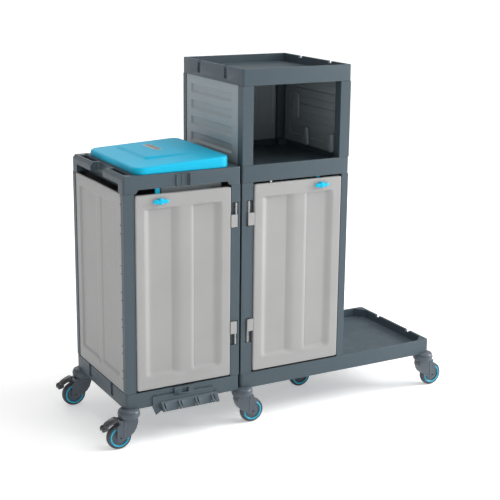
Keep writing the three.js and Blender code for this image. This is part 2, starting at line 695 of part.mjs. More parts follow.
// The fixed wheel under the middle of the right base.
function midBracket() {
  const top = FLOOR_Z - FLOOR_T - GAP;
  const cheek = outline([
    [-40, top],
    [-40, top - 8],
    [-15, HUB_Z - 6],
    [0, HUB_Z - 14],
    [15, HUB_Z - 6],
    [40, top - 8],
    [40, top],
  ]);
  return uprightPlate(cheek, -21, 21)
    .subtract(block(-60, 60, -SLOT_HALF, SLOT_HALF, 0, top - 8))
    .add(barY(0, HUB_Z, AXLE_R, -21, 21, 12));
}
const middle = new THREE.Group();
middle.position.set(MID_WHEEL_X, DEPTH / 2, 0);
cart.add(middle);
mesh("mid_bracket", midBracket(), DARK, middle);
mesh("mid_wheel", wheel(), DARK, middle).position.z = HUB_Z;

export default cart;
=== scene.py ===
"""Mouldings, finishes and studio of a housekeeping cart, built round its packed frame.

Metres: +X along the cart towards the low tray, +Y from the doors to the back, +Z up from the floor.
"""

import math

import bmesh
import bpy
import numpy as np
from mathutils import Matrix, Vector


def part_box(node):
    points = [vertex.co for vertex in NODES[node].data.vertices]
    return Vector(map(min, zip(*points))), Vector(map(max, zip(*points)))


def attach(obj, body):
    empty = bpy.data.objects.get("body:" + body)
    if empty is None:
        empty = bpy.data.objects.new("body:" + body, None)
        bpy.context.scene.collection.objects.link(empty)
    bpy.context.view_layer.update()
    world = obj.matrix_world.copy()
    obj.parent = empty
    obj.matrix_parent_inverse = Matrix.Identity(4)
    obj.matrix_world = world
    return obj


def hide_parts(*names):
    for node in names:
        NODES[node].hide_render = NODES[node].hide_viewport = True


bl_info = {
    "name": "Housekeeping Cart",
    "version": (1, 0, 0),
    "blender": (4, 5, 0),
    "location": "3D View > Sidebar > Cart",
    "description": "Builds the mouldings, finishes and studio of a housekeeping cart round its frame",
    "category": "Add Mesh",
}

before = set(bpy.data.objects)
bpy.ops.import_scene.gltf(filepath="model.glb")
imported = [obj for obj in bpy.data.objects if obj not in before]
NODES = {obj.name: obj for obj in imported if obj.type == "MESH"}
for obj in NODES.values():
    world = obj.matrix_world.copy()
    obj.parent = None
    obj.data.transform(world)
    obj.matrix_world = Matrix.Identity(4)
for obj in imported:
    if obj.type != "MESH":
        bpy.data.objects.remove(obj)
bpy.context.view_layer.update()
X, Y, Z = 0, 1, 2
LIT_POINT = (0.1, 0.0, 0.6)


def box(node):
    """Lowest and highest corner of a CAD node, as arrays."""
    lo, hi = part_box(node)
    return np.array(lo, float), np.array(hi, float)


# ---- sizes and colours a user would change ----------------------------------------------------


def colour(name, text, rgb):
    """A colour setting."""
    return bpy.props.FloatVectorProperty(
        name=name, description=text, subtype="COLOR", size=3, min=0, max=1, default=rgb
    )


def length(name, text, value):
    """A setting in metres."""
    return bpy.props.FloatProperty(
        name=name, description=text, default=value, min=0, unit="LENGTH", precision=4
    )


def number(name, text, value):
    """A plain number setting."""
    return bpy.props.FloatProperty(name=name, description=text, default=value, min=0)


class CartFinishes(bpy.types.PropertyGroup):
    slate: colour("Slate", "Frames, posts and fittings", (0.050, 0.074, 0.091))
    door_grey: colour("Door grey", "Doors, end panels and hinge arms", (0.318, 0.318, 0.315))
    louvre_grey: colour("Louvre grey", "Panels of the hood", (0.29, 0.33, 0.345))
    cyan: colour("Cyan", "Lid and latches", (0.0, 0.43, 0.66))
    ring_cyan: colour("Ring cyan", "Rings on the castor wheels", (0.012, 0.42, 0.62))
    nylon: colour("Nylon", "Castor forks and housings", (0.068, 0.086, 0.105))
    pedal_black: colour("Pedal black", "Brake pedals", (0.03, 0.034, 0.04))
    tyre: colour("Tyre", "Castor tyres and hubs", (0.035, 0.04, 0.047))
    steel: colour("Steel", "Lid pin and axle bolts", (0.5, 0.51, 0.52))


class CartShapes(bpy.types.PropertyGroup):
    frame_edge: length("Frame edge", "Rounding of the frames' edges", 0.0022)
    post_edge: length("Post edge", "Rounding of the posts' edges", 0.0016)
    fitting_edge: length("Fitting edge", "Rounding of small fittings", 0.0009)
    door_edge: length("Door edge", "Roll of a door's front edge", 0.005)
    field_depth: length("Field depth", "Depth of the doors' sunk fields", 0.011)
    panel_depth: length("Panel depth", "Depth of the end panels' sunk fields", 0.006)
    lid_edge: length("Lid edge", "Roll between the lid's top and its skirt", 0.010)


class CartStudio(bpy.types.PropertyGroup):
    side: number("Side light", "Power of the softbox at the right, in watts", 300.0)
    key: number("Key light", "Power of the far softbox at the front right, in watts", 95.0)
    fill: number("Fill light", "Power of the large far softbox at the front left, in watts", 20.0)
    top: number("Top light", "Power of the softbox overhead, in watts", 75.0)
    rear: number("Rear light", "Power of the softbox behind, in watts", 30.0)
    sky: number("Surround", "Strength of the white surround", 0.44)
    floor: colour("Floor", "Colour of the floor", (0.93, 0.93, 0.93))
    glow: number("Floor glow", "Own brightness of the lit paper floor", 0.36)


# ---- surfaces ---------------------------------------------------------------------------------

ROLL_STEPS = 6
NEAREST_ROWS = 0.00018
ROUNDING = 1e-9
LONGEST_ARC = 0.45  # of the line beside a rounded corner
MERGE_DISTANCE = 2e-6
SLIVER_LENGTH = 1e-7
SMOOTH_ANGLE = 42
CAD_MERGE_DISTANCE = 2e-5
CAD_FLAT_ANGLE = 0.8


def ease(t):
    """0 to 1 with level ends: t squared times 3 minus 2t."""
    t = np.clip(t, 0, 1)
    return t * t * (3 - 2 * t)


def shoulder(t):
    """0 to 1 as a quarter circle: steep at first, then level."""
    return np.sqrt(1 - (1 - np.clip(t, 0, 1)) ** 2)


def hill(t):
    """A bump over 0 to 1: the square of a half sine."""
    return np.sin(np.pi * np.clip(t, 0, 1)) ** 2


def stations(lo, hi, edge, step, fine=(), skirt=0.0, rows=0):
    """Places from lo to hi: crowded by cosine in the rolled edges, spacing apart round each
    (place, reach, spacing) of fine, and step apart elsewhere. A skirt adds rows outside."""
    roll = edge * (1 - np.cos(np.linspace(0, math.pi / 2, ROLL_STEPS)))
    count = max(2, int(round((hi - lo - 2 * edge) / step)))
    parts = [lo + roll, hi - roll, np.linspace(lo + edge, hi - edge, count + 1)]
    for place, reach, spacing in fine:
        parts.append(np.arange(place - reach, place + reach + spacing / 2, spacing))
    s = np.unique(np.round(np.concatenate(parts), 7))
    s = s[(s >= lo - ROUNDING) & (s <= hi + ROUNDING)]
    keep = np.concatenate([[True], np.diff(s) > NEAREST_ROWS])
    keep[-1] = True
    s = s[keep]
    if rows:
        down = skirt * np.arange(1, rows + 1) / rows
        s = np.concatenate([lo - down[::-1], s, hi + down])
    return s


def pressed(a, b, span_a, span_b, radius):
    """A square grid whose corner cells are pressed onto circles of radius: each point keeps its
    direction from the corner's centre, at its larger offset. Also each point's depth inside."""
    ca = np.clip(a, span_a[0] + radius, span_a[1] - radius)
    cb = np.clip(b, span_b[0] + radius, span_b[1] - radius)
    da, db = a - ca, b - cb
    reach = np.maximum(abs(da), abs(db))
    far = np.maximum(np.hypot(da, db), 1e-12)
    depth = np.minimum.reduce([a - span_a[0], span_a[1] - a, b - span_b[0], span_b[1] - b])
    scale = np.minimum(reach, radius) / far
    return ca + da * scale, cb + db * scale, depth


def rolled(depth, edge):
    """How far a quarter circle of radius edge falls at that depth from the outline."""
    if edge <= 0:
        return np.zeros_like(depth)
    inner = edge - np.clip(depth, 0, edge)
    return edge - np.sqrt(np.maximum(edge * edge - inner * inner, 0))


def rim_of(grid):
    """The closed outline of a grid, once round."""
    return np.concatenate([grid[:, 0], grid[-1, 1:], grid[-2::-1, -1], grid[0, -2::-1]])


def make(name, grids, body, material, outwards=True, nodes=()):
    """One mesh from grids of points, each (rows, columns, 3): neighbours become quads, equal
    points are merged, so touching grids, seams and poles close, and faces of a closed shape
    turn outwards."""
    points, faces, base = [], [], 0
    for grid in grids:
        rows, columns = grid.shape[:2]
        index = base + np.arange(rows * columns).reshape(rows, columns)
        quads = [index[:-1, :-1], index[1:, :-1], index[1:, 1:], index[:-1, 1:]]
        faces.append(np.stack([q.ravel() for q in quads], 1))
        points.append(grid.reshape(-1, 3))
        base += rows * columns
    mesh = bpy.data.meshes.new(name)
    mesh.from_pydata(np.concatenate(points), [], np.concatenate(faces))
    bm = bmesh.new()
    bm.from_mesh(mesh)
    bmesh.ops.remove_doubles(bm, verts=bm.verts, dist=MERGE_DISTANCE)
    bmesh.ops.dissolve_degenerate(bm, edges=bm.edges, dist=SLIVER_LENGTH)
    if outwards:
        bmesh.ops.recalc_face_normals(bm, faces=bm.faces)
    bm.to_mesh(mesh)
    bm.free()
    return dress(name, mesh, body, material, SMOOTH_ANGLE, nodes)


def dress(name, mesh, body, material, sharp, nodes):
    """Smooth shading with edges sharper than sharp degrees kept, a finish, and a body to ride."""
    mesh.shade_smooth()
    mesh.set_sharp_from_angle(angle=math.radians(sharp))
    piece = bpy.data.objects.new(name, mesh)
    bpy.context.scene.collection.objects.link(piece)
    mesh.materials.append(material)
    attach(piece, body)
    if nodes:
        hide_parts(*nodes)
    return piece


def stand_in(node, grids, body, finish):
    """A closed piece that stands for a CAD node, in the finish of the node's slot."""
    make(node + "_moulding", grids, body, FINISH[finish], nodes=(node,))


def plate(
    lo, hi, axis, way, radius, edge, front=None, back=None, fine=None, step=0.02, back_edge=0.001
):
    """Grids of a closed plate. Its front is flat plus front(points), its edge rolls over in a
    quarter circle, its sides are straight, and its back is flat plus back(points)."""
    a, b = (axis + 1) % 3, (axis + 2) % 3
    fine = fine or {}
    sa = stations(lo[a], hi[a], edge, step, fine.get(a, ()))
    sb = stations(lo[b], hi[b], edge, step, fine.get(b, ()))
    square = np.meshgrid(sa, sb, indexing="ij")
    ga, gb, depth = pressed(*square, (lo[a], hi[a]), (lo[b], hi[b]), radius)
    face, rear = (hi[axis], lo[axis]) if way > 0 else (lo[axis], hi[axis])
    sides = []
    for level, lift, roll, sign in ((face, front, edge, way), (rear, back, back_edge, -way)):
        grid = np.empty(ga.shape + (3,))
        grid[..., a], grid[..., b], grid[..., axis] = ga, gb, level
        rise = lift(grid) if lift else 0
        grid[..., axis] = level + sign * (rise - rolled(depth, roll))
        sides.append(grid)
    strip = np.stack([rim_of(sides[0]), rim_of(sides[1])])
    return [*sides, strip]


def turned(profile, centre, axis, segments):
    """Grid of a profile of (radius, height) carried once round an axis through centre: the two
    other coordinates are radius times cosine and sine of the angle."""
    profile = np.array(profile, float)
    angle = 2 * math.pi * np.arange(segments + 1) / segments
    angle[-1] = angle[0]
    a, b = (axis + 1) % 3, (axis + 2) % 3
    grid = np.empty((len(profile), segments + 1, 3))
    grid[..., a] = centre[a] + profile[:, :1] * np.cos(angle)
    grid[..., b] = centre[b] + profile[:, :1] * np.sin(angle)
    grid[..., axis] = centre[axis] + profile[:, 1:2]
    return grid


def rounded_profile(points, radius, steps=4):
    """A polyline of (radius, height) whose corners are replaced by short arcs: a quadratic curve
    from radius before each corner to radius after it."""
    points = np.array(points, float)
    out = [points[:1]]
    t = np.linspace(0, 1, steps + 1)[:, None]
    for before, corner, after in zip(points[:-2], points[1:-1], points[2:]):
        r1 = min(radius, np.linalg.norm(before - corner) * LONGEST_ARC)
        r2 = min(radius, np.linalg.norm(after - corner) * LONGEST_ARC)
        p = corner + (before - corner) / max(np.linalg.norm(before - corner), ROUNDING) * r1
        q = corner + (after - corner) / max(np.linalg.norm(after - corner), ROUNDING) * r2
        out.append((1 - t) ** 2 * p + 2 * t * (1 - t) * corner + t * t * q)
    out.append(points[-1:])
    return np.concatenate(out)


def loft(path, across, up, half_width, half_height, power, segments):
    """Grid of superelliptic sections carried along path: at each place the section is spanned by
    the unit vectors across and up, and ends close to points where the halves are zero."""
    path = np.asarray(path, float)
    angle = 2 * math.pi * np.arange(segments + 1) / segments
    c, s = np.cos(angle), np.sin(angle)
    u = np.sign(c) * abs(c) ** (2 / power)
    v = np.sign(s) * abs(s) ** (2 / power)
    u[-1], v[-1] = u[0], v[0]
    half_width = np.broadcast_to(half_width, len(path))[:, None, None]
    half_height = np.broadcast_to(half_height, len(path))[:, None, None]
    across = np.broadcast_to(across, path.shape)[:, None]
    up = np.broadcast_to(up, path.shape)[:, None]
    section = u[None, :, None] * across * half_width + v[None, :, None] * up * half_height
    return path[:, None] + section


def eased(node, body, material, width, segments=2, angle=33):
    """A merged copy of a CAD node, its edges rounded by a Bevel modifier. It stands for the node."""
    mesh = NODES[node].data.copy()
    mesh.materials.clear()
    bm = bmesh.new()
    bm.from_mesh(mesh)
    bmesh.ops.remove_doubles(bm, verts=bm.verts, dist=CAD_MERGE_DISTANCE)
    bmesh.ops.dissolve_limit(
        bm,
        angle_limit=math.radians(CAD_FLAT_ANGLE),
        verts=bm.verts,
        edges=bm.edges,
        delimit={"NORMAL"},
    )
    bm.to_mesh(mesh)
    bm.free()
    piece = dress(node + "_moulding", mesh, body, material, angle, (node,))
    bevel = piece.modifiers.new("Rounded edges", "BEVEL")
    bevel.width = width
    bevel.segments = segments
    bevel.limit_method = "ANGLE"
    bevel.angle_limit = math.radians(angle)
    bevel.harden_normals = True
    bevel.use_clamp_overlap = True


# ---- shared effects ---------------------------------------------------------------------------

GROUPS = {}
FINISH = {}


def effect(name, inputs, outputs):
    """An empty shader node group with those (name, socket type, value) inputs and outputs."""
    tree = bpy.data.node_groups.new(name, "ShaderNodeTree")
    for label, kind, value in inputs:
        socket = tree.interface.new_socket(name=label, in_out="INPUT", socket_type=kind)
        socket.default_value = value
    for label, kind in outputs:
        tree.interface.new_socket(name=label, in_out="OUTPUT", socket_type=kind)
    GROUPS[name] = tree
    return tree, tree.nodes.new("NodeGroupInput"), tree.nodes.new("NodeGroupOutput")


def node(tree, kind, settings=None, **inputs):
    """A node with its settings and its inputs, which are values or the sockets that feed them.
    An input is named by its label, or by i and its place."""
    made = tree.nodes.new("ShaderNode" + kind)
    for key, value in (settings or {}).items():
        setattr(made, key, value)
    for key, value in inputs.items():
        by_place = key[0] == "i" and key[1:].isdigit()
        socket = made.inputs[int(key[1:]) if by_place else key]
        if isinstance(value, bpy.types.NodeSocket):
            tree.links.new(value, socket)
        else:
            socket.default_value = value
    return made


def maths(tree, operation, first, second, clamp=False):
    """The result of an operation on two values or sockets."""
    settings = {"operation": operation, "use_clamp": clamp}
    return node(tree, "Math", settings, i0=first, i1=second).outputs[0]


def spread(tree, value, low, high, out_low=0.0, out_high=1.0):
    """value between low and high, as out_low to out_high, held at both ends."""
    made = node(tree, "MapRange", None, i0=value, i1=low, i2=high, i3=out_low, i4=out_high)
    made.interpolation_type = "SMOOTHSTEP"
    return made.outputs[0]


def noise(tree, where, scale, detail, roughness=0.5):
    """Fractal noise over the places where, 0 to 1."""
    values = {"Vector": where, "Scale": scale, "Detail": detail, "Roughness": roughness}
    return node(tree, "TexNoise", None, **values).outputs["Fac"]


def scaled_noise(tree, given, label, detail, roughness=0.5):
    """Noise on the object's own coordinates, at the scale of a group's input."""
    where = node(tree, "TexCoord").outputs["Object"]
    return noise(tree, where, given.outputs[label], detail, roughness)


FLOAT = "NodeSocketFloat"
GRAIN_SCALE = 700.0
DUST_COLOUR = (0.5, 0.5, 0.48)
SCUFF_COLOUR = (0.12, 0.12, 0.12)
BADGE_RIM_COLOUR = (0.35, 0.4, 0.42)
BADGE_COLOUR = (0.2, 0.17, 0.16)
STOP_COLOUR = (0.75, 0.75, 0.73)


def build_effects():
    """Grain, slow ripple, tone drift, handled edges and settled dust, each as a node group."""
    tree, given, out = effect(
        "moulded grain",
        [
            ("Grain Scale", FLOAT, GRAIN_SCALE),
            ("Grain", FLOAT, 0.2),
            ("Ripple Scale", FLOAT, 7.0),
            ("Ripple", FLOAT, 0.5),
        ],
        [("Height", FLOAT)],
    )
    fine = scaled_noise(tree, given, "Grain Scale", 2.0)
    fine = maths(tree, "MULTIPLY", fine, given.outputs["Grain"])
    slow = scaled_noise(tree, given, "Ripple Scale", 1.0)
    slow = maths(tree, "MULTIPLY", slow, given.outputs["Ripple"])
    tree.links.new(maths(tree, "ADD", fine, slow), out.inputs["Height"])

    tree, given, out = effect(
        "tone drift",
        [("Scale", FLOAT, 5.0), ("Amount", FLOAT, 0.1)],
        [("Mask", FLOAT), ("Mottle", FLOAT)],
    )
    where = node(tree, "TexCoord").outputs["Object"]
    broad = spread(tree, noise(tree, where, given.outputs["Scale"], 3.0, 0.55), 0.3, 0.7)
    closer = maths(tree, "MULTIPLY", given.outputs["Scale"], 16.0)
    close = spread(tree, noise(tree, where, closer, 4.0), 0.35, 0.7)
    tree.links.new(maths(tree, "MULTIPLY", broad, given.outputs["Amount"]), out.inputs["Mask"])
    tree.links.new(close, out.inputs["Mottle"])

    tree, given, out = effect(
        "handled edges",
        [("Radius", FLOAT, 0.003), ("Scale", FLOAT, 60.0), ("Amount", FLOAT, 0.3)],
        [("Mask", FLOAT)],
    )
    rounded = node(tree, "Bevel", {"samples": 4}, Radius=given.outputs["Radius"]).outputs[0]
    straight = node(tree, "NewGeometry").outputs["Normal"]
    turn = node(tree, "VectorMath", {"operation": "DOT_PRODUCT"}, i0=rounded, i1=straight)
    edge = spread(tree, turn.outputs["Value"], 0.995, 0.9)
    patchy = spread(tree, scaled_noise(tree, given, "Scale", 4.0, 0.6), 0.38, 0.66)
    worn = maths(tree, "MULTIPLY", edge, patchy)
    tree.links.new(maths(tree, "MULTIPLY", worn, given.outputs["Amount"]), out.inputs["Mask"])

    tree, given, out = effect(
        "settled dust", [("Scale", FLOAT, 14.0), ("Amount", FLOAT, 0.1)], [("Mask", FLOAT)]
    )
    normal = node(tree, "NewGeometry").outputs["Normal"]
    facing_up = node(tree, "SeparateXYZ", None, i0=normal).outputs[2]
    flat = spread(tree, facing_up, 0.55, 0.98)
    patchy = spread(tree, scaled_noise(tree, given, "Scale", 5.0, 0.62), 0.35, 0.75)
    lying = maths(tree, "MULTIPLY", flat, patchy)
    tree.links.new(maths(tree, "MULTIPLY", lying, given.outputs["Amount"]), out.inputs["Mask"])


def placed(tree, name, **inputs):
    """A shared effect placed in a material with its own values."""
    made = tree.nodes.new("ShaderNodeGroup")
    made.node_tree = GROUPS[name]
    for key, value in inputs.items():
        made.inputs[key.replace("_", " ")].default_value = value
    return made.outputs


def blended(tree, amount, first, second):
    """Colour mix of two colours or sockets by a mask."""
    made = node(tree, "Mix", {"data_type": "RGBA"})
    for index, value in ((0, amount), (6, first), (7, second)):
        if isinstance(value, bpy.types.NodeSocket):
            tree.links.new(value, made.inputs[index])
        else:
            made.inputs[index].default_value = value if np.isscalar(value) else (*value, 1)
    return made.outputs[2]


def blank(name):
    """The tree and the shader of a new finish."""
    FINISH[name] = bpy.data.materials.new(name)
    FINISH[name].use_nodes = True
    tree = FINISH[name].node_tree
    return tree, tree.nodes["Principled BSDF"]


def grained(tree, shader, strength, distance, **grain):
    """Moulded grain as a bump of that strength and distance."""
    height = placed(tree, "moulded grain", **grain)["Height"]
    bump = node(tree, "Bump", None, Strength=strength, Distance=distance, Height=height)
    tree.links.new(bump.outputs[0], shader.inputs["Normal"])


def plastic(
    name,
    rgb,
    roughness,
    grain=0.12,
    ripple=0.5,
    drift=0.5,
    wear=0.25,
    dust=0.12,
    specular=0.38,
    coat=0.0,
    mottle=0.03,
):
    """Moulded plastic: a tone that drifts, paler handled edges, dust on what faces up, fine grain
    and a slow ripple from the mould."""
    tree, shader = blank(name)
    rgb = np.array(rgb)
    drifted = placed(tree, "tone drift", Scale=4.0, Amount=drift)
    edges = placed(tree, "handled edges", Radius=0.003, Scale=70.0, Amount=wear)
    dusty = placed(tree, "settled dust", Scale=15.0, Amount=dust)
    tone = blended(tree, drifted["Mask"], rgb, rgb * 0.9)
    tone = blended(tree, edges["Mask"], tone, rgb * 0.7 + 0.17)
    tone = blended(tree, dusty["Mask"], tone, DUST_COLOUR)
    tree.links.new(tone, shader.inputs["Base Color"])
    rough = spread(tree, drifted["Mottle"], 0.0, 1.0, roughness - mottle, roughness + mottle)
    rough = maths(tree, "ADD", rough, maths(tree, "MULTIPLY", dusty["Mask"], 0.35), True)
    tree.links.new(rough, shader.inputs["Roughness"])
    grain_values = {"Grain_Scale": GRAIN_SCALE, "Grain": grain, "Ripple_Scale": 6.0}
    grained(tree, shader, 0.35, 0.0012, Ripple=ripple, **grain_values)
    shader.inputs["Specular IOR Level"].default_value = specular
    shader.inputs["Coat Weight"].default_value = coat
    shader.inputs["Coat Roughness"].default_value = 0.18


def rubber(name, rgb):
    """Tyre rubber: dull, with scuffed paler edges and close mottling."""
    tree, shader = blank(name)
    rgb = np.array(rgb)
    drifted = placed(tree, "tone drift", Scale=30.0, Amount=0.8)
    edges = placed(tree, "handled edges", Radius=0.004, Scale=160.0, Amount=0.35)
    tone = blended(tree, drifted["Mask"], rgb, rgb * 1.5)
    tone = blended(tree, edges["Mask"], tone, SCUFF_COLOUR)
    tree.links.new(tone, shader.inputs["Base Color"])
    rough = spread(tree, drifted["Mottle"], 0.0, 1.0, 0.52, 0.66)
    tree.links.new(rough, shader.inputs["Roughness"])
    grain_values = {"Grain_Scale": 1500.0, "Grain": 0.4, "Ripple_Scale": 60.0, "Ripple": 0.2}
    grained(tree, shader, 0.3, 0.0006, **grain_values)


def metal(name, rgb):
    """Plain steel with a fine grain, a little darker and duller in patches."""
    tree, shader = blank(name)
    rgb = np.array(rgb)
    drifted = placed(tree, "tone drift", Scale=60.0, Amount=0.6)
    tone = blended(tree, drifted["Mask"], rgb, rgb * 0.6)
    tree.links.new(tone, shader.inputs["Base Color"])
    rough = spread(tree, drifted["Mottle"], 0.0, 1.0, 0.25, 0.4)
    tree.links.new(rough, shader.inputs["Roughness"])
    grain_values = {"Grain_Scale": 2500.0, "Grain": 0.3, "Ripple_Scale": 90.0, "Ripple": 0.1}
    grained(tree, shader, 0.2, 0.0004, **grain_values)
    shader.inputs["Metallic"].default_value = 1.0


def build_finishes():
    """The cart's finishes, from the colours in its settings."""
    build_effects()
    tones = bpy.context.scene.cart_finishes
    plastic("slate_plastic", tones.slate, 0.46, wear=0.35, dust=0.05)
    plastic(
        "grey_plastic", tones.door_grey, 0.42, grain=0.08, ripple=0.35, wear=0.2, dust=0.05
    )
    plastic("louvre_plastic", tones.louvre_grey, 0.45, grain=0.1, wear=0.25, dust=0.08)
    plastic(
        "cyan_plastic",
        tones.cyan,
        0.46,
        grain=0.03,
        ripple=0.1,
        drift=0.12,
        wear=0.06,
        dust=0.02,
        specular=0.22,
        mottle=0.008,
    )
    plastic("castor_plastic", tones.nylon, 0.36, grain=0.1, wear=0.3, dust=0.12)
    plastic(
        "pedal_plastic",
        tones.pedal_black,
        0.2,
        grain=0.04,
        ripple=0.2,
        wear=0.3,
        dust=0.08,
        coat=0.3,
    )
    plastic("ring_plastic", tones.ring_cyan, 0.35, grain=0.05, wear=0.1, dust=0.03)
    plastic("badge_plastic", BADGE_RIM_COLOUR, 0.3, grain=0.03, wear=0.1, dust=0.03)
    plastic("badge_centre", BADGE_COLOUR, 0.4, grain=0.1, wear=0.1, dust=0.05)
    plastic("peg_plastic", STOP_COLOUR, 0.4, grain=0.05, wear=0.05, dust=0.05)
    rubber("tyre", tones.tyre)
    metal("steel_pin", tones.steel)


# ---- frames, bases and posts ------------------------------------------------------------------

BAG_RING_EDGE = 0.0015
BRACKET_EDGE = 0.0012
BACK_PANEL_EDGE = 0.0015
HINGE_EDGE = 0.0009
HINGE_ANGLE = 25


def build_frames():
    """Bases, frames, trays and posts: the CAD shapes with rounded edges."""
    sizes = bpy.context.scene.cart_shapes
    slate = FINISH["slate_plastic"]
    for name in ("left_base", "right_base", "left_top_frame", "mid_frame", "hood_tray"):
        eased(name, "cart", slate, sizes.frame_edge)
    for name in sorted(n for n in NODES if "_post_" in n):
        eased(name, "cart", slate, sizes.post_edge)
    NODES["lid_pin"].material_slots[0].material = FINISH["steel_pin"]


def build_fittings():
    """Bag ring, tool rack, clip on the front band and the fixed wheel's bracket."""
    edge = bpy.context.scene.cart_shapes.fitting_edge
    for name, finish, width in (
        ("bag_ring", "slate_plastic", BAG_RING_EDGE),
        ("tool_rack", "slate_plastic", edge),
        ("band_clip", "slate_plastic", edge),
        ("mid_bracket", "castor_plastic", BRACKET_EDGE),
    ):
        eased(name, "cart", FINISH[finish], width)


# ---- panels and doors -------------------------------------------------------------------------

# Rims are (left, right, top), pilasters (left end, right end, left rise, right rise), slopes
# (left, right, top, foot) and feet (height, dip under the pilaster).
DOOR_RIMS = (0.032, 0.034, 0.050)
DOOR_PILASTER = (0.151, 0.244, 0.044, 0.020)
DOOR_PILASTER_HEIGHT = 0.0085
DOOR_SLOPES = (0.030, 0.040, 0.008, 0.024)
DOOR_FOOT = (0.046, 0.014)
DOOR_CORNER = 0.008
DIP_MARGIN = 0.004
RIB_SHARES = (0.2, 0.4, 0.6, 0.8)
RIB_HALF = 0.006
RIB_SHARE_OF_HOLLOW = 0.7
HOLLOW_RIM, HOLLOW_TOP_RIM, HOLLOW_SLOPE, HOLLOW_DEPTH = 0.008, 0.028, 0.004, 0.006
STOP_RADIUS = 0.0042
END_RIMS = (0.036, 0.036, 0.044)
END_PILASTER_HALF, END_PILASTER_SLOPE, END_PILASTER_HEIGHT = 0.028, 0.014, 0.0026
END_SLOPES = (0.014, 0.014, 0.008, 0.020)
END_FOOT = (0.050, 0.016)
# Heights of the dark slabs painted as the shade inside the end panels' clip slots.
SLOT_SHADE_HEIGHTS = [0.996, 0.965, 0.885, 0.853, 0.728, 0.697, 0.624]
SLOT_SHADE_HEIGHTS += [0.591, 0.516, 0.485, 0.410, 0.380, 0.308, 0.277]
SLOT_SHADE_HALF = 0.003
LOUVRE_TOP, LOUVRE_PITCH, LOUVRE_HEIGHT, LOUVRE_DEPTH = 0.0356, 0.067, 0.038, 0.0062
LOUVRE_FRONT, LOUVRE_BACK, LOUVRE_END = 0.056, 0.046, 0.010
BACK_STRIP, BACK_RIM, BACK_SLOPE, BACK_DEPTH = 0.062, 0.010, 0.005, 0.004
HOOD_CLIP_PLACES = (-0.162, 0.038)
HOOD_CLIP_LENGTH = 0.080


def panelled(u, v, size, rim, pilaster, depth, rise, slopes, foot):
    """Height of a moulding with two sunk fields and a pilaster between them, over u across and
    v up. The fields are down by depth inside eased slopes; the pilaster comes up by rise in a
    quarter sine at its left and a quarter circle at its right; the fields' feet lie at foot, and
    the pilaster's dips lower in a half wave."""
    wide, high = size
    left, right, top = rim
    slope_left, slope_right, slope_top, slope_foot = slopes
    foot_height, dip = foot
    across = ease((u - left) / slope_left) * ease((wide - right - u) / slope_right)
    p0, p1, rise_left, rise_right = pilaster
    bottom = foot_height - dip * hill((u - p0 + DIP_MARGIN) / (p1 - p0 + 2 * DIP_MARGIN))
    along = ease((high - top - v) / slope_top) * ease((v - bottom) / slope_foot)
    hump = np.sin(np.pi / 2 * np.clip((u - p0) / rise_left, 0, 1)) * shoulder((p1 - u) / rise_right)
    return along * (-depth * across + rise * hump)


def door_grids(node):
    """A door: panelled front with rolled edges, hollow back with one upright and four cross ribs."""
    lo, hi = box(node)
    sizes = bpy.context.scene.cart_shapes
    size = wide, high = hi[X] - lo[X], hi[Z] - lo[Z]

    def front(p):
        return panelled(
            p[..., X] - lo[X],
            p[..., Z] - lo[Z],
            size,
            DOOR_RIMS,
            DOOR_PILASTER,
            sizes.field_depth,
            DOOR_PILASTER_HEIGHT,
            DOOR_SLOPES,
            DOOR_FOOT,
        )

    def back(p):
        u = np.minimum(p[..., X] - lo[X], hi[X] - p[..., X]) - HOLLOW_RIM
        v = np.minimum(p[..., Z] - lo[Z], hi[Z] - HOLLOW_TOP_RIM - p[..., Z]) - HOLLOW_RIM
        rib = ease(1 - abs(p[..., X] - (lo[X] + hi[X]) / 2) / RIB_HALF)
        for share in RIB_SHARES:
            rib = np.maximum(rib, ease(1 - abs(p[..., Z] - lo[Z] - share * high) / RIB_HALF))
        hollow = ease(u / HOLLOW_SLOPE) * ease(v / HOLLOW_SLOPE)
        return -hollow * HOLLOW_DEPTH * (1 - RIB_SHARE_OF_HOLLOW * rib)

    # Closer rows and columns where the surface slopes: (place, reach, spacing).
    columns = [(0.047, 0.014, 0.002), (0.151, 0.012, 0.002), (0.244, 0.014, 0.002)]
    columns += [(wide - 0.052, 0.021, 0.002), (0.165, 0.020, 0.003), (0.230, 0.018, 0.003)]
    columns += [(0.010, 0.004, 0.002), (wide - 0.010, 0.004, 0.002)]
    rows = [(high - 0.0545, 0.007, 0.0015), (0.048, 0.024, 0.002), (0.010, 0.004, 0.002)]
    rows += [(high - 0.036, 0.004, 0.002)] + [(s * high, 0.006, 0.003) for s in RIB_SHARES]
    fine = {
        X: [(lo[X] + place, reach, spacing) for place, reach, spacing in columns],
        Z: [(lo[Z] + place, reach, spacing) for place, reach, spacing in rows],
    }
    edge = sizes.door_edge
    return plate(lo, hi, Y, -1, DOOR_CORNER, edge, front, back, fine, 0.014, 0.0015)


def build_doors():
    """Both doors, the small stop over the right one and the strip behind the left one's gap."""
    lo, hi = box("right_door")
    foot, top = hi[Z] + 0.0024, hi[Z] + 0.0084
    centre = np.array([lo[X] + 0.076, lo[Y] + 0.009, 0])
    profile = [(0, foot), (STOP_RADIUS, foot), (STOP_RADIUS, top), (0, top)]
    stop = [turned(rounded_profile(profile, 0.0012), centre, Z, 24)]
    make("door_stop", stop, "cart", FINISH["peg_plastic"])
    # A pale grey strip just in front of the slate bag guard: its paler colour is painted light,
    # standing for light falling on the guard in the shaded gap.
    lo, hi = box("left_door")
    low = np.array([lo[X] + 0.122, hi[Y] + 0.0182, hi[Z] - 0.012])
    high = np.array([hi[X] - 0.024, hi[Y] + 0.0202, hi[Z] + 0.028])
    strip = plate(low, high, Y, -1, 0.001, 0.0004, back_edge=0.0)
    make("bag_guard_strip", strip, "cart", FINISH["louvre_plastic"])
    for node in ("left_door", "right_door"):
        stand_in(node, door_grids(node), node, "grey_plastic")


